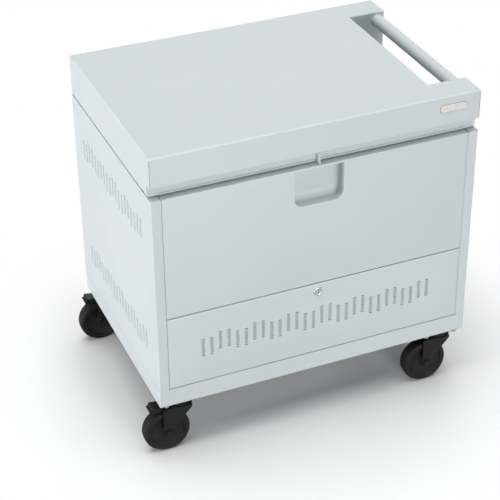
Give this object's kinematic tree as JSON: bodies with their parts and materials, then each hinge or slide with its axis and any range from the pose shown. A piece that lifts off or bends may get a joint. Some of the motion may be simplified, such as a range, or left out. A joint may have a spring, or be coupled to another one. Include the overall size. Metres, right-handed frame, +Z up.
{
  "type": "laptop charging cart",
  "caption": "Low sheet-metal cabinet on swivel casters that stores and charges laptops, with a hinged lid, a push handle, a drop front and a vented locking lower panel.",
  "frame": {"origin": "on the floor, under the middle of the cabinet's width and depth", "axes": "+X to the handle end, which is on the right seen from the front; +Y to the rear; +Z up"},
  "size_m": [0.7967, 0.5386, 0.765],
  "materials": {
    "paint": "smooth satin powder coat, pale blue-grey",
    "inner_paint": "satin powder coat, pale grey",
    "grey_plastic": "fine matt moulded plastic",
    "black_plastic": "matt moulded plastic",
    "zinc": "bright zinc plate",
    "plate_metal": "satin anodised",
    "lock_metal": "satin chrome",
    "rubber": "matt",
    "caster_black": "satin glass-filled nylon",
    "caster_tread": "matt tread"
  },
  "bodies": {
    "cabinet": {"base_pan": "paint", "base_floor": "paint", "left_side_panel": "paint", "right_side_panel": "paint", "rear_panel": "paint", "deck_shelf": "inner_paint", "deck_strip_left": "inner_paint", "deck_strip_right": "inner_paint", "cross_rail": "inner_paint", "hand_well": "paint", "bay_end_wall": "inner_paint", "divider_rack_left": "grey_plastic", "divider_rack_right": "grey_plastic", "lead_tray": "inner_paint", "outlet_strip_lower": "black_plastic", "outlet_strip_upper": "black_plastic", "charge_controller": "black_plastic", "power_inlet": "black_plastic", "lid_hinge_lower_leaf": "zinc", "lid_hinge_pin": "zinc", "lid_bumper_left": "rubber", "lid_bumper_right": "rubber", "caster_front_left_plate": "zinc", "caster_front_right_plate": "zinc", "caster_rear_left_plate": "zinc", "caster_rear_right_plate": "zinc"},
    "lid": {"lid_shell": "paint", "lid_stiffener": "inner_paint", "handle_tube": "paint", "lid_catch": "paint", "blank_plate": "plate_metal", "lid_hinge_upper_leaf": "zinc"},
    "drop_front": {"upper_door": "paint", "door_liner": "inner_paint", "pull_cup": "paint", "door_pin_left": "zinc", "door_pin_right": "zinc"},
    "lock_panel": {"lower_panel": "paint", "panel_channel": "inner_paint", "panel_pin_left": "zinc", "panel_pin_right": "zinc", "lock_body": "lock_metal"},
    "lock_core": {"lock_plug": "lock_metal", "lock_cam": "zinc"},
    "rocker": {"power_switch": "black_plastic"},
    "swivel_front_left": {"caster_front_left_fork": "caster_black", "caster_front_left_axle": "zinc"},
    "wheel_front_left": {"caster_front_left_wheel": "caster_tread"},
    "pedal_front_left": {"caster_front_left_pedal": "caster_black"},
    "swivel_front_right": {"caster_front_right_fork": "caster_black", "caster_front_right_axle": "zinc"},
    "wheel_front_right": {"caster_front_right_wheel": "caster_tread"},
    "swivel_rear_left": {"caster_rear_left_fork": "caster_black", "caster_rear_left_axle": "zinc"},
    "wheel_rear_left": {"caster_rear_left_wheel": "caster_tread"},
    "pedal_rear_left": {"caster_rear_left_pedal": "caster_black"},
    "swivel_rear_right": {"caster_rear_right_fork": "caster_black", "caster_rear_right_axle": "zinc"},
    "wheel_rear_right": {"caster_rear_right_wheel": "caster_tread"}
  },
  "joints": [
    {"name": "lid_hinge", "type": "hinge", "parent": "cabinet", "child": "lid", "pos_m": [0, 0.2683, 0.6695], "axis": [-1, 0, 0], "range_deg": [0, 100]},
    {"name": "drop_front_hinge", "type": "hinge", "parent": "cabinet", "child": "drop_front", "pos_m": [0, -0.2583, 0.3795], "axis": [1, 0, 0], "range_deg": [0, 100]},
    {"name": "lock_panel_hinge", "type": "hinge", "parent": "cabinet", "child": "lock_panel", "pos_m": [0, -0.2583, 0.194], "axis": [1, 0, 0], "range_deg": [0, 90]},
    {"name": "lock_turn", "type": "hinge", "parent": "lock_panel", "child": "lock_core", "pos_m": [0, -0.2635, 0.345], "axis": [0, -1, 0], "range_deg": [0, 90]},
    {"name": "rocker_tilt", "type": "hinge", "parent": "cabinet", "child": "rocker", "pos_m": [0.329, 0.2633, 0.451], "axis": [1, 0, 0], "range_deg": [0, 12]},
    {"name": "swivel_front_left", "type": "hinge", "parent": "cabinet", "child": "swivel_front_left", "pos_m": [-0.327, -0.2345, 0.12], "axis": [0, 0, 1], "continuous": true},
    {"name": "roll_front_left", "type": "hinge", "parent": "swivel_front_left", "child": "wheel_front_left", "pos_m": [-0.361, -0.2345, 0.05465], "axis": [0, 1, 0], "continuous": true},
    {"name": "pedal_front_left", "type": "hinge", "parent": "swivel_front_left", "child": "pedal_front_left", "pos_m": [-0.365, -0.2345, 0.117], "axis": [0, -1, 0], "range_deg": [0, 10]},
    {"name": "swivel_front_right", "type": "hinge", "parent": "cabinet", "child": "swivel_front_right", "pos_m": [0.327, -0.2345, 0.12], "axis": [0, 0, 1], "continuous": true},
    {"name": "roll_front_right", "type": "hinge", "parent": "swivel_front_right", "child": "wheel_front_right", "pos_m": [0.293, -0.2345, 0.05465], "axis": [0, 1, 0], "continuous": true},
    {"name": "swivel_rear_left", "type": "hinge", "parent": "cabinet", "child": "swivel_rear_left", "pos_m": [-0.327, 0.2345, 0.12], "axis": [0, 0, 1], "continuous": true},
    {"name": "roll_rear_left", "type": "hinge", "parent": "swivel_rear_left", "child": "wheel_rear_left", "pos_m": [-0.361, 0.2345, 0.05465], "axis": [0, 1, 0], "continuous": true},
    {"name": "pedal_rear_left", "type": "hinge", "parent": "swivel_rear_left", "child": "pedal_rear_left", "pos_m": [-0.365, 0.2345, 0.117], "axis": [0, -1, 0], "range_deg": [0, 10]},
    {"name": "swivel_rear_right", "type": "hinge", "parent": "cabinet", "child": "swivel_rear_right", "pos_m": [0.327, 0.2345, 0.12], "axis": [0, 0, 1], "continuous": true},
    {"name": "roll_rear_right", "type": "hinge", "parent": "swivel_rear_right", "child": "wheel_rear_right", "pos_m": [0.293, 0.2345, 0.05465], "axis": [0, 1, 0], "continuous": true}
  ]
}
